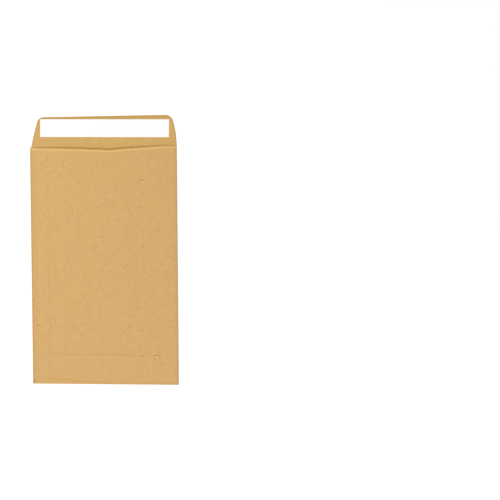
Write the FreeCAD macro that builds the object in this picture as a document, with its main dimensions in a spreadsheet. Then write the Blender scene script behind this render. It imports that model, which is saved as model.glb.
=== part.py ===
import FreeCAD, Part
import math
import os
import Sketcher

# A self-seal paper envelope lying on its front, with the seal flap open.
# X runs across it, +Y runs from the foot to the seal flap and +Z points up, off its back.
# The origin is under the middle of its whole outline.

# Driving sizes in millimetres, with angles in degrees.
SIZES = {
    # the pocket
    "body_width": 110.0,
    "body_length": 176.0,
    "paper_thickness": 0.12,
    "fold_gap": 0.1,
    "mouth_lift": 1.0,
    # the side seam, where the back panel is glued over a narrow seam flap
    "seam_flap_width": 13.0,
    "back_edge_inset": 3.6,
    "seam_drape": 0.8,
    # the throat, a shallow V cut in the back panel's top edge
    "throat_depth": 2.45,
    "throat_shift": 4.7,
    "throat_left_inset": 9.0,
    "throat_right_inset": 7.0,
    "throat_arm_radius": 1200.0,
    # the foot, where a flap of the front panel is turned up inside the pocket
    "bottom_flap_height": 21.9,
    "bottom_flap_taper": 8.0,
    "back_foot_left": 4.4,
    "back_foot_right": 0.8,
    "back_foot_bend": -5.0,
    "back_foot_start": 1.5,
    # the seal flap, whose left side starts a step in from the fold
    "flap_length": 22.3,
    "flap_step": 0.9,
    "flap_left_lean": 5.8,
    "flap_left_radius": 180.0,
    "flap_left_corner": 5.0,
    "flap_right_lean": 4.0,
    "flap_right_radius": 65.0,
    "flap_right_corner": 6.0,
    "score_offset": 1.3,
    "score_width": 0.5,
    "score_depth": 0.03,
    # the liner strip and the glue under it, stuck on a little askew
    "liner_length": 96.5,
    "liner_width": 13.0,
    "liner_thickness": 0.06,
    "liner_shift": 1.2,
    "liner_offset": 13.4,
    "liner_skew": 1.06,
    "glue_margin": 1.5,
    "glue_thickness": 0.05,
}

document = FreeCAD.newDocument("paper_envelope")
sheet = document.addObject("Spreadsheet::Sheet", "dims")
for row, (size_name, size) in enumerate(SIZES.items(), start=1):
    sheet.set(f"A{row}", size_name)
    sheet.set(f"B{row}", str(size))
    sheet.setAlias(f"B{row}", size_name)
document.recompute()

# Places that follow from the sizes.
PAPER = "dims.paper_thickness"
# A side fold turns round the bottom flap, a foot fold only round its own gap.
SIDE_FOLD = "((3 * dims.paper_thickness + dims.fold_gap) / 2)"
FOOT_FOLD = "((2 * dims.paper_thickness + dims.fold_gap) / 2)"
ROOF = "(3 * dims.paper_thickness + dims.fold_gap)"
CEILING = "(2 * dims.paper_thickness + dims.fold_gap)"
FLAT_HALF = f"(dims.body_width / 2 - {SIDE_FOLD})"
FOOT = "(-(dims.body_length + dims.flap_length) / 2)"
SLEEVE_START = f"({FOOT} + {FOOT_FOLD})"
GLUED_TOP = f"({FOOT} + dims.bottom_flap_height + dims.seam_drape)"
MOUTH = f"({FOOT} + dims.body_length)"
RAW_EDGE = "(-dims.body_width / 2 + dims.back_edge_inset)"
SEAM_EDGE = "(-dims.body_width / 2 + dims.seam_flap_width)"


def value(expression):
    """Work out an expression with the sizes in the sheet."""
    return float(sheet.evalExpression(expression))


def new_body(name):
    """Start a piece whose label is its file's name."""
    body = document.addObject("PartDesign::Body", name)
    body.Label = name
    return body


def new_sketch(body, name, role, offset="0"):
    """Start a sketch on one of the body's own planes, or at an offset along Y or Z from it."""
    sketch = body.newObject("Sketcher::SketchObject", name)
    plane = [item for item in body.Origin.OriginFeatures if item.Role == role][0]
    sketch.AttachmentSupport = [(plane, "")]
    sketch.MapMode = "FlatFace"
    # The XZ plane faces -Y, so an offset along +Y is negative there.
    along = f"-({offset})" if role == "XZ_Plane" else offset
    sketch.setExpression("AttachmentOffset.Base.z", along)
    return sketch


def arc_between(start, end, radius, inward):
    """Make the shorter arc of an anticlockwise outline, bulging out or in."""
    chord = end - start
    outward = FreeCAD.Vector(chord.y, -chord.x, 0).normalize()
    rise = radius - math.sqrt(max(radius**2 - chord.Length**2 / 4, 0))
    middle = start + chord / 2 + outward * (-rise if inward else rise)
    return Part.Arc(start, middle, end)


def draw(sketch, corners, radii=None, half_turns=(), inward=()):
    """Draw a closed anticlockwise outline with every corner bound to the sheet.

    Each corner is a pair of expressions. The edge that leaves a corner is straight,
    an arc of the radius given for that corner, or a half turn about a point level in X.
    """
    radii = radii or {}
    places = [FreeCAD.Vector(value(x), value(y), 0) for x, y in corners]
    ends = []
    for index, start in enumerate(places):
        end = places[(index + 1) % len(places)]
        if index in radii or index in half_turns:
            radius = value(radii[index]) if index in radii else (end - start).Length / 2
            sketch.addGeometry(arc_between(start, end, radius, index in inward), False)
        else:
            sketch.addGeometry(Part.LineSegment(start, end), False)
        # A sketch keeps each arc anticlockwise, so an inward one runs from its end.
        ends.append((2, 1) if index in inward else (1, 2))
    for index, (x, y) in enumerate(corners):
        following = (index + 1) % len(corners)
        sketch.addConstraint(
            Sketcher.Constraint("Coincident", index, ends[index][1], following, ends[following][0])
        )
        for kind, expression in (("DistanceX", x), ("DistanceY", y)):
            place = Sketcher.Constraint(kind, -1, 1, index, ends[index][0], value(expression))
            sketch.setExpression(f"Constraints[{sketch.addConstraint(place)}]", expression)
        if index in radii:
            size = Sketcher.Constraint("Radius", index, value(radii[index]))
            sketch.setExpression(f"Constraints[{sketch.addConstraint(size)}]", radii[index])
        if index in half_turns:
            sketch.addConstraint(Sketcher.Constraint("Vertical", index, 3, index, ends[index][0]))


def extrude(body, kind, sketch, length, reverse=False):
    """Pad or pocket a sketch by a length bound to the sheet."""
    feature = body.newObject(f"PartDesign::{kind}", f"{sketch.Name}_{kind.lower()}")
    feature.Profile = sketch
    feature.setExpression("Length", length)
    feature.Reversed = reverse
    sketch.Visibility = False
    return feature


def lift(share, x):
    """How far a bowed back panel stands up at X, for a share of the lift at the mouth."""
    return f"({share} * dims.mouth_lift * (1 - ({x}) ^ 2 / {FLAT_HALF} ^ 2))"


def bow_radius(share):
    """The radius of the panel's bow for that share of the lift."""
    return f"({FLAT_HALF} ^ 2 / (2 * {share} * dims.mouth_lift))"


def draw_front(sketch):
    """The front panel's section, with a side fold turning up and over at each end."""
    corners = [
        (f"-{FLAT_HALF}", "0"),
        (FLAT_HALF, "0"),
        (FLAT_HALF, ROOF),
        (FLAT_HALF, CEILING),
        (FLAT_HALF, PAPER),
        (f"-{FLAT_HALF}", PAPER),
        (f"-{FLAT_HALF}", CEILING),
        (f"-{FLAT_HALF}", ROOF),
    ]
    draw(sketch, corners, half_turns=(1, 3, 5, 7), inward=(3, 5))


def draw_back(sketch, share):
    """The back's section: the seam flap on the left, and the back panel lapped over its raw edge."""
    draped = f"({SEAM_EDGE} + dims.seam_drape)"
    corners = [
        (FLAT_HALF, CEILING),
        (FLAT_HALF, ROOF),
        (draped, f"{ROOF} + {lift(share, draped)}"),
        (SEAM_EDGE, f"{ROOF} + {PAPER} + {lift(share, SEAM_EDGE)}"),
        (RAW_EDGE, f"{ROOF} + {PAPER} + {lift(share, RAW_EDGE)}"),
        (RAW_EDGE, f"{ROOF} + {lift(share, RAW_EDGE)}"),
        (f"-{FLAT_HALF}", ROOF),
        (f"-{FLAT_HALF}", CEILING),
        (SEAM_EDGE, f"{CEILING} + {lift(share, SEAM_EDGE)}"),
        (SEAM_EDGE, f"{ROOF} + {lift(share, SEAM_EDGE)}"),
        (draped, f"{CEILING} + {lift(share, draped)}"),
    ]
    bows = {1: bow_radius(share), 10: bow_radius(share)} if share else {}
    draw(sketch, corners, bows, inward=(10,) if share else ())


def make_pocket(body):
    """The pocket: its back lies flat along the glued foot, then bows up towards the mouth."""
    front = new_sketch(body, "front", "XZ_Plane", SLEEVE_START)
    draw_front(front)
    extrude(body, "Pad", front, f"{MOUTH} - {SLEEVE_START}", reverse=True)
    foot = new_sketch(body, "back_foot", "XZ_Plane", SLEEVE_START)
    draw_back(foot, 0)
    extrude(body, "Pad", foot, f"{GLUED_TOP} - {SLEEVE_START}", reverse=True)
    sections = []
    middle = f"(({GLUED_TOP} + {MOUTH}) / 2)"
    for name, station, share in (("low", GLUED_TOP, 0), ("middle", middle, 0.25), ("mouth", MOUTH, 1)):
        section = new_sketch(body, f"back_{name}", "XZ_Plane", station)
        draw_back(section, share)
        section.Visibility = False
        sections.append(section)
    bow = body.newObject("PartDesign::AdditiveLoft", "back_bow")
    bow.Profile = sections[0]
    bow.Sections = sections[1:]


def make_foot(body):
    """The foot: the front panel turns up in a fold to a tapered flap glued inside the back."""
    taper = new_sketch(body, "bottom_flap", "XY_Plane", f"{PAPER} + dims.fold_gap")
    flap_top = f"{FOOT} + dims.bottom_flap_height"
    narrow = f"({FLAT_HALF} - dims.bottom_flap_taper)"
    corners = [
        (f"-{FLAT_HALF}", SLEEVE_START),
        (FLAT_HALF, SLEEVE_START),
        (narrow, flap_top),
        (f"-{narrow}", flap_top),
    ]
    draw(taper, corners)
    extrude(body, "Pad", taper, PAPER)
    turn = new_sketch(body, "foot_fold", "YZ_Plane", f"-{FLAT_HALF}")
    corners = [
        (SLEEVE_START, CEILING),
        (SLEEVE_START, "0"),
        (SLEEVE_START, PAPER),
        (SLEEVE_START, f"{PAPER} + dims.fold_gap"),
    ]
    draw(turn, corners, half_turns=(0, 2), inward=(2,))
    extrude(body, "Pad", turn, f"2 * {FLAT_HALF}")


def trim_back_foot(body):
    """The back panel's raw lower edge slants up to the left, over the turned-up flap."""
    waste = new_sketch(body, "back_foot_edge", "XY_Plane", CEILING)
    below = f"{FOOT} - dims.back_foot_right"
    left = f"-dims.body_width / 2 + dims.back_foot_start"
    corners = [
        (f"-{FLAT_HALF}", below),
        (FLAT_HALF, below),
        (FLAT_HALF, f"{FOOT} + dims.back_foot_right"),
        ("dims.back_foot_bend", f"{FOOT} + dims.back_foot_right"),
        (left, f"{FOOT} + dims.back_foot_left"),
        (f"-{FLAT_HALF}", f"{FOOT} + dims.back_foot_right"),
    ]
    draw(waste, corners)
    extrude(body, "Pocket", waste, f"3 * {PAPER}", reverse=True)


def cut_throat(body):
    """The throat: a shallow V in the back panel's top edge, with slightly curved arms."""
    waste = new_sketch(body, "throat", "XY_Plane", f"{PAPER} + dims.fold_gap")
    left = "-dims.body_width / 2 + dims.throat_left_inset"
    right = "dims.body_width / 2 - dims.throat_right_inset"
    above = f"{MOUTH} + dims.throat_depth"
    corners = [
        (left, MOUTH),
        ("dims.throat_shift", f"{MOUTH} - dims.throat_depth"),
        (right, MOUTH),
        (right, above),
        (left, above),
    ]
    arm = "dims.throat_arm_radius"
    draw(waste, corners, {0: arm, 1: arm}, inward=(0, 1))
    extrude(body, "Pocket", waste, f"dims.mouth_lift + 4 * {PAPER}", reverse=True)


def make_seal_flap(body):
    """The seal flap runs on from the front panel, with rounded corners and a scored fold line."""
    flap = new_sketch(body, "seal_flap", "XY_Plane")
    tip = f"{MOUTH} + dims.flap_length"
    left = "-dims.body_width / 2 + dims.flap_step"
    right = "dims.body_width / 2"
    corners = [
        (left, MOUTH),
        (right, MOUTH),
        (f"{right} - dims.flap_right_lean", tip),
        (f"{left} + dims.flap_left_lean", tip),
    ]
    draw(flap, corners, {1: "dims.flap_right_radius", 3: "dims.flap_left_radius"})
    extrude(body, "Pad", flap, PAPER)
    document.recompute()
    round_corner(body, "right_corner", f"{right} - dims.flap_right_lean", tip, "dims.flap_right_corner")
    round_corner(body, "left_corner", f"{left} + dims.flap_left_lean", tip, "dims.flap_left_corner")
    score = new_sketch(body, "score_line", "XY_Plane", f"{PAPER} - dims.score_depth")
    low = f"{MOUTH} + dims.score_offset"
    high = f"{low} + dims.score_width"
    draw(score, [("-" + right, low), (right, low), (right, high), ("-" + right, high)])
    extrude(body, "Pocket", score, "dims.score_depth", reverse=True)


def round_corner(body, name, x, y, radius):
    """Round the sheet's upright edge that stands at a place."""
    corner = Part.Vertex(value(x), value(y), value(PAPER) / 2)
    square = body.Tip
    edges = square.Shape.Edges
    nearest = min(range(len(edges)), key=lambda index: edges[index].distToShape(corner)[0])
    fillet = body.newObject("PartDesign::Fillet", name)
    fillet.Base = (square, [f"Edge{nearest + 1}"])
    fillet.setExpression("Radius", radius)
    document.recompute()


def make_strip(name, length, width, thickness, height):
    """A rectangular strip that lies askew on the seal flap at a height."""
    body = new_body(name)
    sketch = new_sketch(body, f"{name}_outline", "XY_Plane")
    corners = [
        (f"-({length}) / 2", f"-({width}) / 2"),
        (f"({length}) / 2", f"-({width}) / 2"),
        (f"({length}) / 2", f"({width}) / 2"),
        (f"-({length}) / 2", f"({width}) / 2"),
    ]
    draw(sketch, corners)
    extrude(body, "Pad", sketch, thickness)
    turn = FreeCAD.Rotation(FreeCAD.Vector(0, 0, -1), value("dims.liner_skew"))
    body.Placement = FreeCAD.Placement(FreeCAD.Vector(0, 0, 0), turn)
    body.setExpression("Placement.Base.x", "dims.liner_shift")
    body.setExpression("Placement.Base.y", f"{MOUTH} + dims.liner_offset")
    body.setExpression("Placement.Base.z", height)
    body.setExpression("Placement.Rotation.Angle", "dims.liner_skew")
    return body


def make_envelope():
    """The folded sheet, in one piece, joined to itself where it is glued."""
    body = new_body("envelope")
    make_pocket(body)
    make_foot(body)
    trim_back_foot(body)
    cut_throat(body)
    make_seal_flap(body)
    return body


def make_seal_adhesive():
    """The band of glue on the flap, a margin smaller than its liner all round."""
    return make_strip(
        "seal_adhesive",
        "dims.liner_length - 2 * dims.glue_margin",
        "dims.liner_width - 2 * dims.glue_margin",
        "dims.glue_thickness",
        PAPER,
    )


def make_release_liner():
    """The white liner strip, held on by the glue."""
    return make_strip(
        "release_liner",
        "dims.liner_length",
        "dims.liner_width",
        "dims.liner_thickness",
        f"{PAPER} + dims.glue_thickness",
    )


pieces = [make_envelope(), make_seal_adhesive(), make_release_liner()]
document.recompute()

for item in document.Objects:
    for state in ("Invalid", "Error"):
        if state in item.State:
            raise RuntimeError(f"{item.Name} is {state}")
for piece in pieces:
    if piece.Shape.isNull() or not piece.Shape.isValid() or len(piece.Shape.Solids) != 1:
        raise RuntimeError(f"{piece.Label} is not one sound solid")

os.makedirs("parts", exist_ok=True)
for piece in pieces:
    piece.Shape.exportStep(f"parts/{piece.Label}.step")
    box = piece.Shape.BoundBox
    print(piece.Label, round(piece.Shape.Volume, 2), "mm3", box)
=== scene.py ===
import math

import bmesh
import bpy
import numpy as np
from mathutils import Euler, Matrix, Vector


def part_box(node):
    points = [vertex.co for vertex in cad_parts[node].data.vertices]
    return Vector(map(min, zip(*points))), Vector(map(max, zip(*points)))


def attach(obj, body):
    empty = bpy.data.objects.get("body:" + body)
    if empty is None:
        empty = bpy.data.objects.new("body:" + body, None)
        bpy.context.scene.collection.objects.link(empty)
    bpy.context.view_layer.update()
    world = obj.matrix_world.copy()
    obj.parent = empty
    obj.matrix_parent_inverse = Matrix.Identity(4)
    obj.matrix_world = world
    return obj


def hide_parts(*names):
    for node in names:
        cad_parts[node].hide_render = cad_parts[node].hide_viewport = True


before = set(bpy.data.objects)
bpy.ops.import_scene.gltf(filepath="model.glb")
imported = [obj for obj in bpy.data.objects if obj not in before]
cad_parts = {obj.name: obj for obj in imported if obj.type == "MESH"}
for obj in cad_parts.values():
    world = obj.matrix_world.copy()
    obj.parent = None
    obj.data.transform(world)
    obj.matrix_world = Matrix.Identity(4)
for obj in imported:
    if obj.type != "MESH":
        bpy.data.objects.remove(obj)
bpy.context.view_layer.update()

scene = bpy.context.scene


# The view. The camera looks nearly straight down past the envelope's right side, so that the
# envelope lies left of the picture's middle, as in the photo. The pose was solved from the
# corners of the body.
CAMERA_PLACE = (0.14454, 0.01114, 0.50441)
CAMERA_TURN_DEG = (-1.287, 4.104, -0.367)
LENS_MM = 50
SENSOR_MM = 36

camera = bpy.data.objects.new("camera", bpy.data.cameras.new("camera"))
camera.data.lens = LENS_MM
camera.data.sensor_width = SENSOR_MM
camera.data.clip_start = 0.01
camera.location = CAMERA_PLACE
camera.rotation_euler = Euler([math.radians(turn) for turn in CAMERA_TURN_DEG])
scene.collection.objects.link(camera)
scene.camera = camera
scene.view_settings.view_transform = "Standard"


# The floor, a plain matt white sheet far wider than the envelope. It looks white to the eye
# and keeps the envelope's shadow, and throws back a little less light than it shows.
FLOOR_SIZE = 6.0
FLOOR_SEEN = "#FFFFFF"
FLOOR_LIT = "#E6E6E4"
FLOOR_GLOW = 0.1


def linear(srgb):
    """Turn an sRGB hex colour into a linear one with an alpha of 1."""
    parts = [int(srgb[i : i + 2], 16) / 255 for i in (1, 3, 5)]
    return (*(c / 12.92 if c <= 0.04045 else ((c + 0.055) / 1.055) ** 2.4 for c in parts), 1.0)


def add(tree, kind, inputs=None, **settings):
    """Add a node, set its own settings, and set or link its inputs by name or number. A node that
    is given as an input is linked from its first output in use."""
    node = tree.nodes.new(kind)
    for name, setting in settings.items():
        setattr(node, name, setting)
    sockets = [socket for socket in node.inputs if socket.enabled]
    for name, given in (inputs or {}).items():
        if isinstance(name, str):
            socket = next(socket for socket in sockets if socket.name == name)
        else:
            socket = sockets[name]
        if isinstance(given, bpy.types.Node):
            given = next(output for output in given.outputs if output.enabled)
        if isinstance(given, bpy.types.NodeSocket):
            tree.links.new(given, socket)
        else:
            socket.default_value = given
    return node


def seen_rays(tree):
    """Give 1 for the rays by which the eye sees a thing, straight or in a reflection, else 0."""
    rays = add(tree, "ShaderNodeLightPath")
    mirrored = add(
        tree,
        "ShaderNodeMath",
        {0: rays.outputs["Is Glossy Ray"], 1: rays.outputs["Is Transmission Ray"]},
        operation="MAXIMUM",
    )
    return add(
        tree,
        "ShaderNodeMath",
        {0: rays.outputs["Is Camera Ray"], 1: mirrored},
        operation="MAXIMUM",
    )


def new_material(name):
    """Start a material with nothing in it but its output."""
    material = bpy.data.materials.new(name)
    material.use_nodes = True
    tree = material.node_tree
    tree.nodes.clear()
    return material, tree, tree.nodes.new("ShaderNodeOutputMaterial")


def mesh_object(name, points, faces):
    """Make an object at the origin from points in metres."""
    mesh = bpy.data.meshes.new(name)
    mesh.from_pydata([tuple(p) for p in points], [], [tuple(f) for f in faces])
    made = bpy.data.objects.new(name, mesh)
    scene.collection.objects.link(made)
    return made


half = FLOOR_SIZE / 2
corners = [(-half, -half, 0), (half, -half, 0), (half, half, 0), (-half, half, 0)]
floor = mesh_object("floor", corners, [(0, 1, 2, 3)])
material, tree, output = new_material("matt_white_floor")
seen = seen_rays(tree)
shade = add(
    tree,
    "ShaderNodeMix",
    {"Factor": seen, "A": linear(FLOOR_LIT), "B": linear(FLOOR_SEEN)},
    data_type="RGBA",
)
matt = add(tree, "ShaderNodeBsdfDiffuse", {"Color": shade})
glow = add(tree, "ShaderNodeMath", {0: seen, 1: FLOOR_GLOW}, operation="MULTIPLY")
glow = add(tree, "ShaderNodeEmission", {"Strength": glow})
whole = add(tree, "ShaderNodeAddShader", {0: matt, 1: glow})
tree.links.new(whole.outputs[0], output.inputs["Surface"])
floor.data.materials.append(material)


# The light: an even pale room, one large soft lamp high on the foot side, which puts a thin
# shadow past the edge of the throat, and a weak lamp on the left.
ROOM_COLOUR = "#FFFFFF"
ROOM_STRENGTH = 0.43
LAMPS = (
    # name, place, size, watts
    ("soft_lamp", (-1.2, -3.2, 4.6), 2.6, 171.0),
    ("side_lamp", (-0.60, 0.20, 0.60), 0.4, 2.25),
)

world = bpy.data.worlds.new("room")
world.use_nodes = True
scene.world = world
tree = world.node_tree
room = tree.nodes["Background"]
room.inputs["Color"].default_value = linear(ROOM_COLOUR)
strength = add(
    tree,
    "ShaderNodeMapRange",
    {"Value": seen_rays(tree), "To Min": ROOM_STRENGTH, "To Max": 1.0},
)
tree.links.new(strength.outputs[0], room.inputs["Strength"])
for name, place, size, watts in LAMPS:
    lamp = bpy.data.objects.new(name, bpy.data.lights.new(name, "AREA"))
    lamp.data.size = size
    lamp.data.energy = watts
    lamp.location = place
    lamp.rotation_euler = Vector(place).to_track_quat("Z", "Y").to_euler()
    scene.collection.objects.link(lamp)


# The envelope: one die-cut sheet of brown paper. The front panel is folded up and over at both
# sides, and the back panel is glued over the narrow seam flap at the left. The foot flap is
# turned up inside. The seal flap is left straight, with a score where it will fold.
PAPER = 0.00012
FOLD_GAP = 0.0001
BODY_LENGTH = 0.176
# the seam at the left, and the back panel's raw lower edge, which slants up to it
SEAM_FLAP_WIDTH = 0.013
SEAM_DRAPE = 0.0008
BACK_EDGE_INSET = 0.0036
BACK_FOOT_LEFT = 0.0044
BACK_FOOT_RIGHT = 0.0008
BACK_FOOT_START = 0.0015
BACK_FOOT_BEND = -0.005
# the flap that is turned up inside the foot
FOOT_FLAP_HEIGHT = 0.0219
FOOT_FLAP_TAPER = 0.008
FOOT_FLAP_TILT = -0.0198
# the throat, a shallow V with slightly curved arms, and how far its lip stands back from them
THROAT_DEPTH = 0.00215
THROAT_SHIFT = 0.0047
THROAT_LEFT_INSET = 0.009
THROAT_RIGHT_INSET = 0.007
THROAT_ARM_RADIUS = 1.2
LIP_SETBACK_X = (-0.0545, -0.050, -0.040, 0.005, 0.015, 0.028, 0.040, 0.0545)
LIP_SETBACK = (0.0, 0.00035, 0.00044, 0.00050, 0.00038, 0.00032, 0.00018, 0.0)
# the seal flap, with a step at the left and two different sides
FLAP_STEP = 0.0009
FLAP_LEFT_LEAN = 0.0058
FLAP_LEFT_RADIUS = 0.180
FLAP_LEFT_CORNER = 0.0050
FLAP_RIGHT_LEAN = 0.0040
FLAP_RIGHT_RADIUS = 0.065
FLAP_RIGHT_CORNER = 0.0060

low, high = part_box("envelope")
half_width, foot, tip, top = high.x, low.y, high.y, high.z
mouth = foot + BODY_LENGTH
flap_length = tip - mouth
side_fold = (3 * PAPER + FOLD_GAP) / 2
foot_fold = (2 * PAPER + FOLD_GAP) / 2
flat_half = half_width - side_fold
sleeve_start = foot + foot_fold
glued_top = foot + FOOT_FLAP_HEIGHT + SEAM_DRAPE
seam_edge = -half_width + SEAM_FLAP_WIDTH
raw_edge = -half_width + BACK_EDGE_INSET
front_level = PAPER / 2
foot_level = PAPER + FOLD_GAP + PAPER / 2
seam_level = 2 * PAPER + FOLD_GAP + PAPER / 2
back_level = seam_level + PAPER


def graded(stops, steps):
    """Values from the first stop to the last, with a number of even steps between each two."""
    runs = [np.linspace(a, b, n, endpoint=False) for a, b, n in zip(stops, stops[1:], steps)]
    return np.concatenate([*runs, stops[-1:]])


def run_length(a, b):
    """The length along a path so far, at each of its points."""
    return np.concatenate([[0], np.cumsum(np.hypot(np.diff(a), np.diff(b)))])


def bump(distance, width):
    """A smooth ridge of height 1 about distance 0."""
    return np.exp(-((distance / width) ** 2))


def across(x):
    """How free the sheet is across the pocket, 1 in the middle and 0 at the side folds."""
    return (1 - (x / flat_half) ** 2).clip(0)


def back_top(x):
    """The back panel's top edge: the throat's V under the mouth, less the lip's setback."""
    left = -half_width + THROAT_LEFT_INSET
    right = half_width - THROAT_RIGHT_INSET
    arm = np.where(x < THROAT_SHIFT, THROAT_SHIFT - left, right - THROAT_SHIFT)
    along = np.clip(np.abs(x - THROAT_SHIFT) / arm, 0, 1)
    sag = arm**2 / (8 * THROAT_ARM_RADIUS)
    depth = THROAT_DEPTH * (1 - along) - 4 * sag * along * (1 - along)
    return mouth - depth - np.interp(x, LIP_SETBACK_X, LIP_SETBACK)


def back_foot(x):
    """The back's lower edge, which slants up to the left and comes down beside the side fold."""
    bends = (-flat_half, -half_width + BACK_FOOT_START, BACK_FOOT_BEND)
    return foot + np.interp(x, bends, (BACK_FOOT_RIGHT, BACK_FOOT_LEFT, BACK_FOOT_RIGHT))


# relief that handling and pressing leave in the back panel
LIP_LENGTH = 0.0020
LIP_HEIGHT = 0.00017
FOOT_CURL_LENGTH = 0.0011
FOOT_CURL_HEIGHT = 0.00005
FOOT_RIDGE = 0.00012
FOOT_RIDGE_WIDTH = 0.0009
FOOT_STEP = 0.00015
FOOT_STEP_WIDTH = 0.0005
FOOT_STEP_REACH = 0.015
FOOT_STEP_END = 0.0015
CREASE_HEIGHT = 0.00010
CREASE_WIDTH = 0.0005
CREASE_DROP = 0.0026
CREASE_REACH = 0.017
CREASE_FADE = 0.008

mouth_lift = top - seam_level - PAPER / 2 - LIP_HEIGHT


def back_relief(x, y):
    """How far the back panel stands off its pressed level: it bows towards the mouth, its edges
    curl, the foot flap's end shows through it, and it has a short crease at the mouth's right."""
    bow = mouth_lift * np.clip((y - glued_top) / (mouth - glued_top), 0, 1) ** 2
    lip = LIP_HEIGHT * np.clip(1 - (back_top(x) - y) / LIP_LENGTH, 0, 1) ** 2
    curl = FOOT_CURL_HEIGHT * np.clip(1 - (y - back_foot(x)) / FOOT_CURL_LENGTH, 0, 1) ** 2

    past_flap = y - (foot + FOOT_FLAP_HEIGHT + FOOT_FLAP_TILT * x)
    ridge = FOOT_RIDGE * bump(past_flap + FOOT_RIDGE_WIDTH, FOOT_RIDGE_WIDTH)
    drop = FOOT_STEP * np.clip(past_flap / FOOT_STEP_WIDTH, 0, 1) ** 2
    drop = drop * np.exp(-past_flap.clip(0) / FOOT_STEP_REACH)
    over_flap = np.clip((flat_half - FOOT_FLAP_TAPER - np.abs(x)) / FOOT_STEP_END, 0, 1)

    crease = CREASE_HEIGHT * bump(y - (mouth - CREASE_DROP), CREASE_WIDTH)
    crease = crease * np.clip((x - (half_width - CREASE_REACH)) / CREASE_FADE, 0, 1)
    return across(x) * (bow + lip + curl) + over_flap * (ridge - drop) + crease


# painted warm shade on the paper in the throat, where light reaches it only off brown paper
THROAT_SHADE_OFFSET = 0.0004
THROAT_SHADE_WIDTH = 0.0013


def throat_shade(x, y):
    """The share of painted warm shade at a place on the sheet's inside near the throat, less so
    towards the sides.
    """
    return across(x) * bump(y - back_top(x) - THROAT_SHADE_OFFSET, THROAT_SHADE_WIDTH)


# columns of the sheet, close together at its folds and its raw edge
SIDE_COLUMNS = (0.0, 0.0004, 0.0009, 0.0015, 0.0022, 0.003)
MIDDLE_START = 0.004
MIDDLE_COLUMNS = 82
SEAM_COLUMNS = 12
FOLD_COLUMNS = 8
BACK_COLUMNS = 82
LAP_STEPS = (5, 6)
LAP_EDGE = 0.0018

from_side = np.array(SIDE_COLUMNS)
middle_half = flat_half - MIDDLE_START
front_columns = np.concatenate(
    [
        -flat_half + from_side,
        np.linspace(-middle_half, middle_half, MIDDLE_COLUMNS),
        flat_half - from_side[::-1],
    ]
)


def strip(x, level, start, relief, outer):
    """Columns of the pocket side by side, each value given once for all or once for each."""
    return np.stack(np.broadcast_arrays(x, level, start, relief, outer), 1)


def side_fold_columns(side, angles):
    """The columns round a side fold, -1 for the left one, by angles from 0 at the front panel to
    pi at the back. Their lower ends run from the foot fold's to the back's."""
    turn = side_fold - PAPER / 2
    x = side * (flat_half + turn * np.sin(angles))
    level = side_fold - turn * np.cos(angles)
    climb = angles / math.pi * (back_foot(side * flat_half) - sleeve_start)
    return strip(x, level, sleeve_start + climb, 0, 0)


def pocket_columns():
    """The pocket's columns from the seam flap round to the raw edge, each with its x, its level,
    its lower end, its share of the back's relief, and 1 for the outer back panel, else 0."""
    angles = np.linspace(0, math.pi, FOLD_COLUMNS + 2)[1:-1]
    seam_flap = np.linspace(seam_edge, -flat_half, SEAM_COLUMNS)
    back = np.linspace(flat_half, seam_edge + SEAM_DRAPE, BACK_COLUMNS)
    lap = graded((seam_edge, raw_edge + LAP_EDGE, raw_edge), LAP_STEPS)
    return np.concatenate(
        [
            strip(seam_flap, seam_level, back_foot(seam_flap), 1, 0),
            side_fold_columns(-1, angles[::-1]),
            strip(front_columns, front_level, sleeve_start, 0, 0),
            side_fold_columns(1, angles),
            strip(back, seam_level, back_foot(back), 1, 1),
            strip(lap, back_level, back_foot(lap), 1, 1),
        ]
    )


points, blanks, faces = [], [], []
attributes = {"slack": [], "lip": [], "throat": [], "edge": []}


def add_patch(place, blank, **given):
    """Add a grid of points to the sheet, each with its place on the flat blank, and, where given,
    how loose it is and how near it lies to the curled lip, to the throat or to a raw edge."""
    rows, columns = place.shape[:2]
    for row in range(rows - 1):
        for first in range(len(points) + row * columns, len(points) + (row + 1) * columns - 1):
            faces.append((first, first + 1, first + columns + 1, first + columns))
    points.extend(place.reshape(-1, 3))
    blanks.extend(blank.reshape(-1, 2))
    for name, values in attributes.items():
        values.extend(given.get(name, np.zeros((rows, columns))).ravel())


# the pocket, from the seam flap round the front panel to the back panel's raw edge
POCKET_STOPS = (0.0, 0.0125, 0.108, 0.142, 0.96, 1.0)
POCKET_STEPS = (6, 13, 20, 103, 18)
SLACK_FADE = 0.03
SLACK_AT_MOUTH = 0.15
# a painted highlight on the curled lip, a pale band just below the throat's edge
LIP_HIGHLIGHT_OFFSET = 0.0012
LIP_HIGHLIGHT_WIDTH = 0.0008
# raw edges are drawn darker, partly their own tone and partly painted shade; at the throat's edge
# it is a far stronger painted shadow line
EDGE_TONE_WIDTH = 0.0006
THROAT_EDGE_SHADE = 1.8
FOOT_EDGE_TONE = 0.3
FOOT_EDGE_FADE = 0.03

x, level, y_low, relief, outer = pocket_columns().T
blank_x = run_length(x, level)
blank_x = blank_x - blank_x[SEAM_COLUMNS + FOLD_COLUMNS] - flat_half
y_high = np.where(relief > 0, back_top(x), mouth)
y = y_low + (y_high - y_low) * graded(POCKET_STOPS, POCKET_STEPS)[:, None]
x = np.broadcast_to(x, y.shape)
z = level + relief * back_relief(x, y)
slack = relief * across(x) * ((y - glued_top) / SLACK_FADE).clip(0, 1)
slack = slack * ((mouth - y) / SLACK_FADE).clip(SLACK_AT_MOUTH, 1)
foot_edge = bump(y - y_low - EDGE_TONE_WIDTH, EDGE_TONE_WIDTH)
foot_edge = foot_edge * np.interp(
    x, [BACK_FOOT_BEND - FOOT_EDGE_FADE, BACK_FOOT_BEND], [1.0, FOOT_EDGE_TONE]
)
# painted shade along the throat's edge, standing for the shadow in the throat's gap
throat_edge_shade = THROAT_EDGE_SHADE * bump(y_high - y, EDGE_TONE_WIDTH)
side_edge = bump(x - raw_edge, EDGE_TONE_WIDTH)
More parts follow.
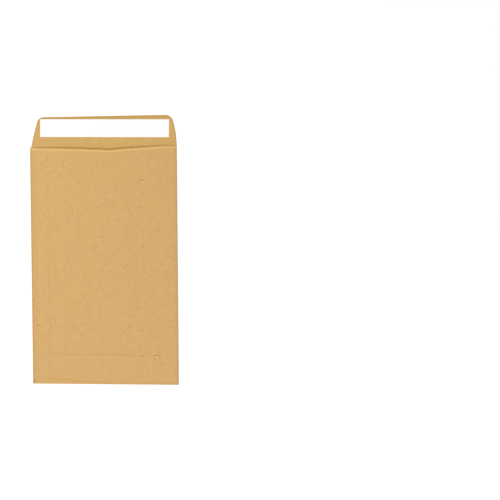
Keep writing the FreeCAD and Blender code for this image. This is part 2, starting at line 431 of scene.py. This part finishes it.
# the lip mark is a painted highlight on the back panel just below the throat's edge
add_patch(
    np.stack([x, y, z], 2),
    np.stack([np.broadcast_to(blank_x, y.shape), y], 2),
    slack=slack,
    lip=relief * bump(y_high - y - LIP_HIGHLIGHT_OFFSET, LIP_HIGHLIGHT_WIDTH),
    throat=(1 - relief) * throat_shade(x, y),
    edge=outer * np.maximum.reduce([side_edge, foot_edge, throat_edge_shade]),
)

# the foot fold and the tapered flap that it turns up inside
FOOT_FOLD_ROWS = 9
FOOT_FLAP_ROWS = 19

turn = foot_fold - PAPER / 2
angles = np.linspace(0, math.pi, FOOT_FOLD_ROWS)
up_flap = np.linspace(0, 1, FOOT_FLAP_ROWS + 1)[1:]
flap_y = sleeve_start + up_flap * (FOOT_FLAP_HEIGHT - foot_fold)
rows_y = np.concatenate([sleeve_start - turn * np.sin(angles), flap_y])
rows_z = np.concatenate([foot_fold - turn * np.cos(angles), np.full(FOOT_FLAP_ROWS, foot_level)])
up_flap = np.concatenate([np.zeros(FOOT_FOLD_ROWS), up_flap])[:, None]
x = front_columns * (1 - up_flap * FOOT_FLAP_TAPER / flat_half)
y = rows_y[:, None] + FOOT_FLAP_TILT * x * up_flap
z = np.broadcast_to(rows_z[:, None], x.shape)
blank_y = np.broadcast_to(sleeve_start - run_length(rows_y, rows_z)[:, None], x.shape)
# the rows run from the flap's end to the front panel, so that faces point as the panel's do
add_patch(np.stack([x, y, z], 2)[::-1], np.stack([x, blank_y], 2)[::-1])

# the seal flap, whose first row is the front panel's last, with two ridges beside its score
FLAP_STOPS = (0.0, 0.00002, 0.0003, 0.0033, 0.0045)
FLAP_STEPS = (1, 1, 10, 1, 8)
CORNER_STEPS = 20
SCORE_SWELL = 0.00003
SCORE_SWELL_WIDTH = 0.00035
SCORE_OFFSET = 0.0015
SCORE_HALF_WIDTH = 0.0007
FLAP_EDGE_TONE_WIDTH = 0.0012
FLAP_EDGE_FADE = 0.002
FLAP_TIP_TONE = 1.8
FLAP_TIP_TONE_WIDTH = 0.0019


def flap_side(rise, base, lean, side_radius, corner):
    """How far out a side of the seal flap stands: a bulging arc with a rounded corner."""
    chord = math.hypot(lean, flap_length)
    reach = math.sqrt(side_radius**2 - chord**2 / 4)
    centre_x = base - lean / 2 - flap_length / chord * reach
    centre_y = flap_length / 2 - lean / chord * reach
    corner_y = flap_length - corner
    corner_x = centre_x + math.sqrt((side_radius - corner) ** 2 - (corner_y - centre_y) ** 2)
    turning = centre_y + (corner_y - centre_y) * side_radius / (side_radius - corner)
    side = centre_x + np.sqrt(side_radius**2 - (rise - centre_y) ** 2)
    round_off = corner_x + np.sqrt(np.clip(corner**2 - (rise - corner_y) ** 2, 0, None))
    return np.where(rise > turning, round_off, side)


straight = flap_length - FLAP_RIGHT_CORNER
corner_rise = FLAP_RIGHT_CORNER * np.sin(np.linspace(0, math.pi / 2, CORNER_STEPS + 1))
rise = graded((*FLAP_STOPS, straight), FLAP_STEPS)
rise = np.concatenate([rise, straight + corner_rise[1:]])
left = -flap_side(
    rise, half_width - FLAP_STEP, FLAP_LEFT_LEAN, FLAP_LEFT_RADIUS, FLAP_LEFT_CORNER
)
right = flap_side(rise, half_width, FLAP_RIGHT_LEAN, FLAP_RIGHT_RADIUS, FLAP_RIGHT_CORNER)
left[0], right[0] = -flat_half, flat_half
part = (front_columns + flat_half) / (2 * flat_half)
x = left[:, None] + (right - left)[:, None] * part
y = np.broadcast_to((mouth + rise)[:, None], x.shape)
swell = SCORE_SWELL * bump(np.abs(rise - SCORE_OFFSET) - SCORE_HALF_WIDTH, SCORE_SWELL_WIDTH)
swell[0] = 0
z = front_level + np.broadcast_to(swell[:, None], x.shape)
side_edge = bump(np.minimum(x - left[:, None], right[:, None] - x), FLAP_EDGE_TONE_WIDTH)
tip_edge = FLAP_TIP_TONE * bump(tip - y, FLAP_TIP_TONE_WIDTH)
add_patch(
    np.stack([x, y, z], 2),
    np.stack([x, y], 2),
    throat=throat_shade(x, y),
    edge=np.maximum(side_edge, tip_edge) * np.clip(rise / FLAP_EDGE_FADE, 0, 1)[:, None],
)

# the whole sheet, with its parts merged where they meet
MERGE_WITHIN = 1e-7

envelope = mesh_object("folded_sheet", points, faces)
mesh = envelope.data
for name, values in attributes.items():
    attribute = mesh.attributes.new(name, "FLOAT", "POINT")
    attribute.data.foreach_set("value", np.array(values, np.float32))
uv = mesh.uv_layers.new(name="blank")
loop_points = np.zeros(len(mesh.loops), np.int32)
mesh.loops.foreach_get("vertex_index", loop_points)
uv.data.foreach_set("uv", np.array(blanks, np.float32)[loop_points].ravel())
joined = bmesh.new()
joined.from_mesh(mesh)
bmesh.ops.remove_doubles(joined, verts=joined.verts, dist=MERGE_WITHIN)
joined.to_mesh(mesh)
joined.free()
mesh.shade_smooth()


# soft waves where the paper is loose, and its thickness
WAVE_HEIGHT = 0.00005
WAVE_LENGTH = 0.045
WAVE_SEED = 4.0
SHARP_EDGE_DEG = 50


def paper_relief():
    """A node tree that lets the loose paper lie in soft waves, and gives the sheet its material."""
    tree = bpy.data.node_groups.new("paper_relief", "GeometryNodeTree")
    tree.interface.new_socket("sheet", in_out="INPUT", socket_type="NodeSocketGeometry")
    for name in ("wave_height", "wave_length", "seed"):
        tree.interface.new_socket(name, in_out="INPUT", socket_type="NodeSocketFloat")
    tree.interface.new_socket("material", in_out="INPUT", socket_type="NodeSocketMaterial")
    tree.interface.new_socket("sheet", in_out="OUTPUT", socket_type="NodeSocketGeometry")
    given = tree.nodes.new("NodeGroupInput")
    result = tree.nodes.new("NodeGroupOutput")
    place = add(tree, "GeometryNodeInputPosition")
    loose = add(tree, "GeometryNodeInputNamedAttribute", {"Name": "slack"}, data_type="FLOAT")
    per_wave = add(
        tree, "ShaderNodeMath", {0: 1.0, 1: given.outputs["wave_length"]}, operation="DIVIDE"
    )
    noise = add(
        tree,
        "ShaderNodeTexNoise",
        {"Vector": place, "W": given.outputs["seed"], "Scale": per_wave, "Detail": 1.0},
        noise_dimensions="4D",
    )
    swing = add(tree, "ShaderNodeMapRange", {"Value": noise, "To Min": -1.0, "To Max": 1.0})
    rise = add(
        tree, "ShaderNodeMath", {0: swing, 1: given.outputs["wave_height"]}, operation="MULTIPLY"
    )
    rise = add(tree, "ShaderNodeMath", {0: rise, 1: loose}, operation="MULTIPLY")
    offset = add(tree, "ShaderNodeCombineXYZ", {"Z": rise})
    moved = add(
        tree, "GeometryNodeSetPosition", {"Geometry": given.outputs["sheet"], "Offset": offset}
    )
    real = add(tree, "GeometryNodeRealizeInstances", {"Geometry": moved})
    painted = add(
        tree, "GeometryNodeSetMaterial", {"Geometry": real, "Material": given.outputs["material"]}
    )
    tree.links.new(painted.outputs[0], result.inputs["sheet"])
    return tree


def bake(target):
    """Keep what an object's modifiers make as its plain mesh."""
    graph = bpy.context.evaluated_depsgraph_get()
    made = bpy.data.meshes.new_from_object(target.evaluated_get(graph), depsgraph=graph)
    target.modifiers.clear()
    target.data = made


# the paper's look: cloudy pulp. A range gives the values of a pattern between which it sets in
PAPER_IOR = 1.46
PULP_CLOUD = 0.006
CLOUD_RANGE = {"From Min": 0.35, "From Max": 0.65}
CLOUD_STRENGTH = 0.3
ROUGHNESS_RANGE = {"From Min": 0.3, "From Max": 0.7}
ROUGHNESS_SPREAD = 0.04
# the bent fibres lie in patches, mostly on the right
FIBRES = (
    # spacing, radius of the bend, half width, strength, pale or dark
    (0.0046, 0.0013, 0.00025, 0.65, "dark"),
    (0.0041, 0.0012, 0.00025, 0.90, "pale"),
    (0.0064, 0.0026, 0.00027, 0.60, "dark"),
    (0.0059, 0.0024, 0.00027, 0.90, "pale"),
    (0.0019, 0.0012, 0.00007, 0.60, "dark"),
    (0.0016, 0.0009, 0.00007, 0.80, "pale"),
)
FIBRE_END_RANGE = {"From Min": 0.25, "From Max": 0.5}
FIBRE_LARGEST_TURN = 20.0
FIBRE_KINK = 0.003
FIBRE_KINK_LENGTH = 0.0035
FIBRE_PATCH = 0.016
FIBRE_PATCH_RANGE = {"From Min": 0.42, "From Max": 0.56}
FIBRES_BETWEEN_PATCHES = 0.15
FIBRE_DRIFT = 0.8
FIBRE_RELIEF = 0.00002
FIBRE_RELIEF_STRENGTH = 0.5
# the fine fibres are drawn wider than real ones, which are about 0.03 mm wide, so that they show
FINE_FIBRE_WIDTH = 0.00025
FINE_FIBRE_LENGTH = 0.0015
FINE_FIBRE_PALE = 0.45
FINE_FIBRE_PALE_RANGE = {"From Min": 0.50, "From Max": 0.64}
FINE_FIBRE_DARK = 0.30
FINE_FIBRE_DARK_RANGE = {"From Min": 0.46, "From Max": 0.32}
# the paper is drawn darker near the folds
FOLD_TONE_WIDTH = 0.004
FOLD_TONE_POWER = 2.0
LEFT_FOLD_TONE = 0.75
RIGHT_FOLD_TONE = 0.42
FOOT_FOLD_TONE = 0.10
# finishes: base, pale and dark colour, roughness
OUTSIDE = ("#CEA35F", "#DBB175", "#B28548", 0.62)
INSIDE = ("#CDA45B", "#D9B170", "#B08548", 0.72)
CUT_EDGE = ("#CBA062", "#D8AE73", "#B2854B", 0.85)
# marks that the mesh places by its attributes: attribute, strength, colour
# a painted highlight on the curled lip
LIP_PAINTED_HIGHLIGHT = ("lip", 0.7, "#E6BC70")
# raw edges darker, partly their own tone and partly painted shade, most at the throat's edge
EDGE_TONE_AND_PAINTED_SHADE = ("edge", 0.3, "#B08234")
# painted warm shade on the inside, in the throat
THROAT_PAINTED_WARM_SHADE = ("throat", 0.55, "#CC9430")
# specks on the back: place, half length, half width, turn, strength, colour
SPECK_RANGE = {"From Min": 0.4, "From Max": 1.1}
BARK = "#7D5630"
FLECK = "#F0CFA0"
BACK_SPECKS = (
    (-0.0502, -0.0551, 0.0011, 0.0008, 0.0, 0.45, BARK),
    (-0.0411, -0.0564, 0.0011, 0.0009, 0.0, 0.32, BARK),
    (-0.0428, -0.0572, 0.0006, 0.0005, 0.0, 0.60, FLECK),
    (0.0372, -0.0798, 0.0010, 0.0009, 0.0, 0.38, BARK),
    (0.0386, -0.0773, 0.0030, 0.0005, 0.0, 0.30, BARK),
    (0.0388, -0.0790, 0.0010, 0.0005, 0.0, 0.45, FLECK),
    (0.0410, -0.0796, 0.0009, 0.0006, 0.0, 0.26, BARK),
    (0.0407, -0.0752, 0.0006, 0.0005, 0.0, 0.35, BARK),
    (0.0286, 0.0516, 0.0034, 0.0009, 0.30, 0.26, BARK),
    (0.0296, 0.0502, 0.0010, 0.0006, 0.20, 0.35, FLECK),
)


def bent_fibres(tree, blank, spacing, bend, half_width):
    """Short bent fibres, one to each cell of a scatter and turned every way: 1 on them, else 0."""
    cells = add(
        tree,
        "ShaderNodeTexVoronoi",
        {"Vector": blank, "Scale": 1 / spacing},
        voronoi_dimensions="2D",
    )
    apart = add(
        tree,
        "ShaderNodeVectorMath",
        {0: blank, 1: cells.outputs["Position"]},
        operation="SUBTRACT",
    )
    chance = add(
        tree,
        "ShaderNodeMath",
        {0: cells.outputs["Color"], 1: FIBRE_LARGEST_TURN},
        operation="MULTIPLY",
    )
    turned = add(
        tree, "ShaderNodeVectorRotate", {"Vector": apart, "Angle": chance}, rotation_type="Z_AXIS"
    )
    from_bend = add(
        tree, "ShaderNodeVectorMath", {0: turned, 1: (0.0, bend, 0.0)}, operation="ADD"
    )
    reach = add(tree, "ShaderNodeVectorMath", {0: from_bend}, operation="LENGTH")
    off_line = add(tree, "ShaderNodeMath", {0: reach, 1: bend}, operation="SUBTRACT")
    off_line = add(tree, "ShaderNodeMath", {0: off_line}, operation="ABSOLUTE")
    line = add(
        tree,
        "ShaderNodeMapRange",
        {"Value": off_line, "From Max": half_width, "To Min": 1.0, "To Max": 0.0},
    )
    near = add(
        tree,
        "ShaderNodeMapRange",
        {"Value": cells.outputs["Distance"], **FIBRE_END_RANGE, "To Min": 1.0, "To Max": 0.0},
    )
    return add(tree, "ShaderNodeMath", {0: line, 1: near}, operation="MULTIPLY")


def scattered_fibres(tree, blank, place, tones):
    """Kinked fibres of all sizes, close together in some places and nearly missing in others:
    the share and the colour of each size, and how high they stand together."""
    bends = add(
        tree,
        "ShaderNodeTexNoise",
        {"Vector": blank, "Scale": 1 / FIBRE_KINK_LENGTH, "Detail": 1.0},
    )
    kinked = add(
        tree,
        "ShaderNodeVectorMath",
        {0: bends.outputs["Color"], 1: (FIBRE_KINK, FIBRE_KINK, 0.0), 2: blank},
        operation="MULTIPLY_ADD",
    )
    patches = add(
        tree, "ShaderNodeTexNoise", {"Vector": blank, "Scale": 1 / FIBRE_PATCH, "Detail": 1.0}
    )
    where = add(tree, "ShaderNodeSeparateXYZ", {"Vector": place.outputs["Object"]})
    drifted = add(
        tree,
        "ShaderNodeMath",
        {0: where.outputs["X"], 1: FIBRE_DRIFT, 2: patches},
        operation="MULTIPLY_ADD",
    )
    shown = add(
        tree,
        "ShaderNodeMapRange",
        {"Value": drifted, **FIBRE_PATCH_RANGE, "To Min": FIBRES_BETWEEN_PATCHES},
    )
    toned = []
    height = None
    for spacing, bend, half_width, strength, tint in FIBRES:
        fibre = bent_fibres(tree, kinked, spacing, bend, half_width)
        fibre = add(tree, "ShaderNodeMath", {0: fibre, 1: shown}, operation="MULTIPLY")
        share = add(tree, "ShaderNodeMath", {0: fibre, 1: strength}, operation="MULTIPLY")
        toned.append((share, tones[tint]))
        if height is not None:
            fibre = add(tree, "ShaderNodeMath", {0: height, 1: fibre}, operation="MAXIMUM")
        height = fibre
    return toned, height


def darker_near_folds(tree, blank, dark):
    """Paper drawn darker near the folds, by the distance on the flat blank from both side folds and
    from the foot fold: the share and the colour of each."""
    spot = add(tree, "ShaderNodeSeparateXYZ", {"Vector": blank})
    below = add(
        tree, "ShaderNodeMath", {0: spot.outputs["Y"], 1: mouth}, operation="LESS_THAN"
    )
    folds = (
        ("X", -flat_half, LEFT_FOLD_TONE),
        ("X", flat_half, RIGHT_FOLD_TONE),
        ("Y", sleeve_start, FOOT_FOLD_TONE),
    )
    toned = []
    for axis, line, strength in folds:
        off_fold = add(
            tree, "ShaderNodeMath", {0: spot.outputs[axis], 1: line}, operation="SUBTRACT"
        )
        off_fold = add(tree, "ShaderNodeMath", {0: off_fold}, operation="ABSOLUTE")
        near = add(
            tree,
            "ShaderNodeMapRange",
            {"Value": off_fold, "From Max": FOLD_TONE_WIDTH, "To Min": 1.0, "To Max": 0.0},
        )
        near = add(tree, "ShaderNodeMath", {0: near, 1: FOLD_TONE_POWER}, operation="POWER")
        near = add(tree, "ShaderNodeMath", {0: near, 1: below}, operation="MULTIPLY")
        share = add(tree, "ShaderNodeMath", {0: near, 1: strength}, operation="MULTIPLY")
        toned.append((share, dark))
    return toned


def speck(tree, place, spot, size, turn, strength):
    """The share of one speck, a soft oval at its place on the back."""
    turned = add(
        tree,
        "ShaderNodeMapping",
        {
            "Vector": place.outputs["Object"],
            "Location": (*spot, 0.0),
            "Rotation": (0.0, 0.0, turn),
            "Scale": (*size, 1.0),
        },
        vector_type="TEXTURE",
    )
    level = add(
        tree, "ShaderNodeVectorMath", {0: turned, 1: (1.0, 1.0, 0.0)}, operation="MULTIPLY"
    )
    away = add(tree, "ShaderNodeVectorMath", {0: level}, operation="LENGTH")
    return add(
        tree,
        "ShaderNodeMapRange",
        {"Value": away, **SPECK_RANGE, "To Min": strength, "To Max": 0.0},
    )


def brown_paper(name, finish, marks, specks=()):
    """Unbleached brown wood-pulp paper, pressed and dried on steel drums: matt and cloudy, with
    short bent fibres and bits of bark in it. The folds are drawn a little darker."""
    base, pale, dark, roughness = finish
    material, tree, output = new_material(name)
    blank = add(tree, "ShaderNodeUVMap", uv_map="blank")
    place = add(tree, "ShaderNodeTexCoord")

    # cloudy pulp, and bent fibres in it
    clouds = add(
        tree,
        "ShaderNodeTexNoise",
        {"Vector": blank, "Scale": 1 / PULP_CLOUD, "Detail": 3.0, "Roughness": 0.6},
    )
    share = add(
        tree,
        "ShaderNodeMapRange",
        {"Value": clouds, **CLOUD_RANGE, "To Max": CLOUD_STRENGTH},
    )
    toned = [(share, pale)]
    fibres, height = scattered_fibres(tree, blank, place, {"pale": pale, "dark": dark})
    toned.extend(fibres)

    # fine straight fibres along the reel, which only a close look shows
    stretched = add(
        tree,
        "ShaderNodeMapping",
        {"Vector": blank, "Scale": (1 / FINE_FIBRE_WIDTH, 1 / FINE_FIBRE_LENGTH, 1.0)},
    )
    fine = add(tree, "ShaderNodeTexNoise", {"Vector": stretched, "Scale": 1.0, "Detail": 3.0})
    share = add(
        tree,
        "ShaderNodeMapRange",
        {"Value": fine, **FINE_FIBRE_PALE_RANGE, "To Max": FINE_FIBRE_PALE},
    )
    toned.append((share, pale))
    share = add(
        tree,
        "ShaderNodeMapRange",
        {"Value": fine, **FINE_FIBRE_DARK_RANGE, "To Max": FINE_FIBRE_DARK},
    )
    toned.append((share, dark))
    height = add(tree, "ShaderNodeMath", {0: height, 1: fine}, operation="ADD")
    toned.extend(darker_near_folds(tree, blank, dark))

    # the curled lip gets a paler painted highlight, raw edges are a little darker, partly their own
    # tone and partly painted shade, and the paper in the throat gets painted warm shade, because
    # light reaches it only off brown paper
    for attribute, strength, tint in marks:
        near = add(tree, "ShaderNodeAttribute", attribute_name=attribute)
        share = add(
            tree, "ShaderNodeMath", {0: near.outputs["Fac"], 1: strength}, operation="MULTIPLY"
        )
        toned.append((share, tint))
    for x, y, length, width, turn, strength, tint in specks:
        toned.append((speck(tree, place, (x, y), (length, width), turn, strength), tint))

    colour = linear(base)
    for share, tint in toned:
        colour = add(
            tree,
            "ShaderNodeMix",
            {"Factor": share, "A": colour, "B": linear(tint)},
            data_type="RGBA",
        )
    matt = add(
        tree,
        "ShaderNodeMapRange",
        {
            "Value": clouds,
            **ROUGHNESS_RANGE,
            "To Min": roughness - ROUGHNESS_SPREAD,
            "To Max": roughness + ROUGHNESS_SPREAD,
        },
    )
    relief = add(
        tree,
        "ShaderNodeBump",
        {"Height": height, "Distance": FIBRE_RELIEF, "Strength": FIBRE_RELIEF_STRENGTH},
    )
    paper = add(
        tree,
        "ShaderNodeBsdfPrincipled",
        {"Base Color": colour, "Roughness": matt, "IOR": PAPER_IOR, "Normal": relief},
    )
    tree.links.new(paper.outputs[0], output.inputs["Surface"])
    return material


outside = brown_paper("brown_paper_outside", OUTSIDE, (LIP_PAINTED_HIGHLIGHT, EDGE_TONE_AND_PAINTED_SHADE), BACK_SPECKS)
inside = brown_paper("brown_paper_inside", INSIDE, (THROAT_PAINTED_WARM_SHADE, EDGE_TONE_AND_PAINTED_SHADE))
cut_edge = brown_paper("brown_paper_cut_edge", CUT_EDGE, (LIP_PAINTED_HIGHLIGHT, EDGE_TONE_AND_PAINTED_SHADE))
for paper in (inside, outside, cut_edge):
    envelope.data.materials.append(paper)
waves = envelope.modifiers.new("waves", "NODES")
waves.node_group = paper_relief()
given = {
    "wave_height": WAVE_HEIGHT,
    "wave_length": WAVE_LENGTH,
    "seed": WAVE_SEED,
    "material": inside,
}
for item in waves.node_group.interface.items_tree:
    if item.in_out == "INPUT" and item.name in given:
        waves[item.identifier] = given[item.name]
shell = envelope.modifiers.new("thickness", "SOLIDIFY")
shell.thickness = PAPER
shell.offset = 0.0
shell.material_offset = 1
shell.material_offset_rim = 2
bake(envelope)
envelope.data.set_sharp_from_angle(angle=math.radians(SHARP_EDGE_DEG))
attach(envelope, "root")
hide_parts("envelope")


# The seal: a film of clear tacky glue across the flap, covered by a narrow peel-off strip.
# The strip is thin white paper with a silicone skin, slit straight and laid a little askew.
GLUE = "#EFEBDD"
GLUE_ROUGHNESS = 0.18
GLUE_IOR = 1.47
GLUE_CLEARNESS = 0.7
GLUE_STRING = 0.0011
LINER_BASE = "#FBFBFA"
LINER_PALE = "#FEFEFE"
LINER_ROUGHNESS = 0.34
LINER_IOR = 1.43
LINER_CLOUD = 0.0022
LINER_RELIEF_STRENGTH = 0.4
SEAL_RELIEF = 0.00001

# tacky glue, a clear film with a wet shine, drawn out into fine strings
glue, tree, output = new_material("clear_tacky_glue")
place = add(tree, "ShaderNodeTexCoord")
strings = add(
    tree,
    "ShaderNodeTexNoise",
    {"Vector": place.outputs["Object"], "Scale": 1 / GLUE_STRING, "Detail": 2.0},
)
uneven = add(tree, "ShaderNodeBump", {"Height": strings, "Distance": SEAL_RELIEF})
film = add(
    tree,
    "ShaderNodeBsdfPrincipled",
    {
        "Base Color": linear(GLUE),
        "Roughness": GLUE_ROUGHNESS,
        "IOR": GLUE_IOR,
        "Transmission Weight": GLUE_CLEARNESS,
        "Normal": uneven,
    },
)
tree.links.new(film.outputs[0], output.inputs["Surface"])
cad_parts["seal_adhesive"].data.materials.clear()
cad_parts["seal_adhesive"].data.materials.append(glue)

# silicone-coated paper, bright white with a soft sheen over the faint clouds of its pulp
silicone, tree, output = new_material("silicone_coated_white_paper")
place = add(tree, "ShaderNodeTexCoord")
pulp = add(
    tree,
    "ShaderNodeTexNoise",
    {
        "Vector": place.outputs["Object"],
        "Scale": 1 / LINER_CLOUD,
        "Detail": 5.0,
        "Roughness": 0.6,
    },
)
toned = add(tree, "ShaderNodeMapRange", {"Value": pulp, **CLOUD_RANGE})
white = add(
    tree,
    "ShaderNodeMix",
    {"Factor": toned, "A": linear(LINER_BASE), "B": linear(LINER_PALE)},
    data_type="RGBA",
)
uneven = add(
    tree,
    "ShaderNodeBump",
    {"Height": pulp, "Distance": SEAL_RELIEF, "Strength": LINER_RELIEF_STRENGTH},
)
skin = add(
    tree,
    "ShaderNodeBsdfPrincipled",
    {"Base Color": white, "Roughness": LINER_ROUGHNESS, "IOR": LINER_IOR, "Normal": uneven},
)
tree.links.new(skin.outputs[0], output.inputs["Surface"])
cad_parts["release_liner"].data.materials.clear()
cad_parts["release_liner"].data.materials.append(silicone)
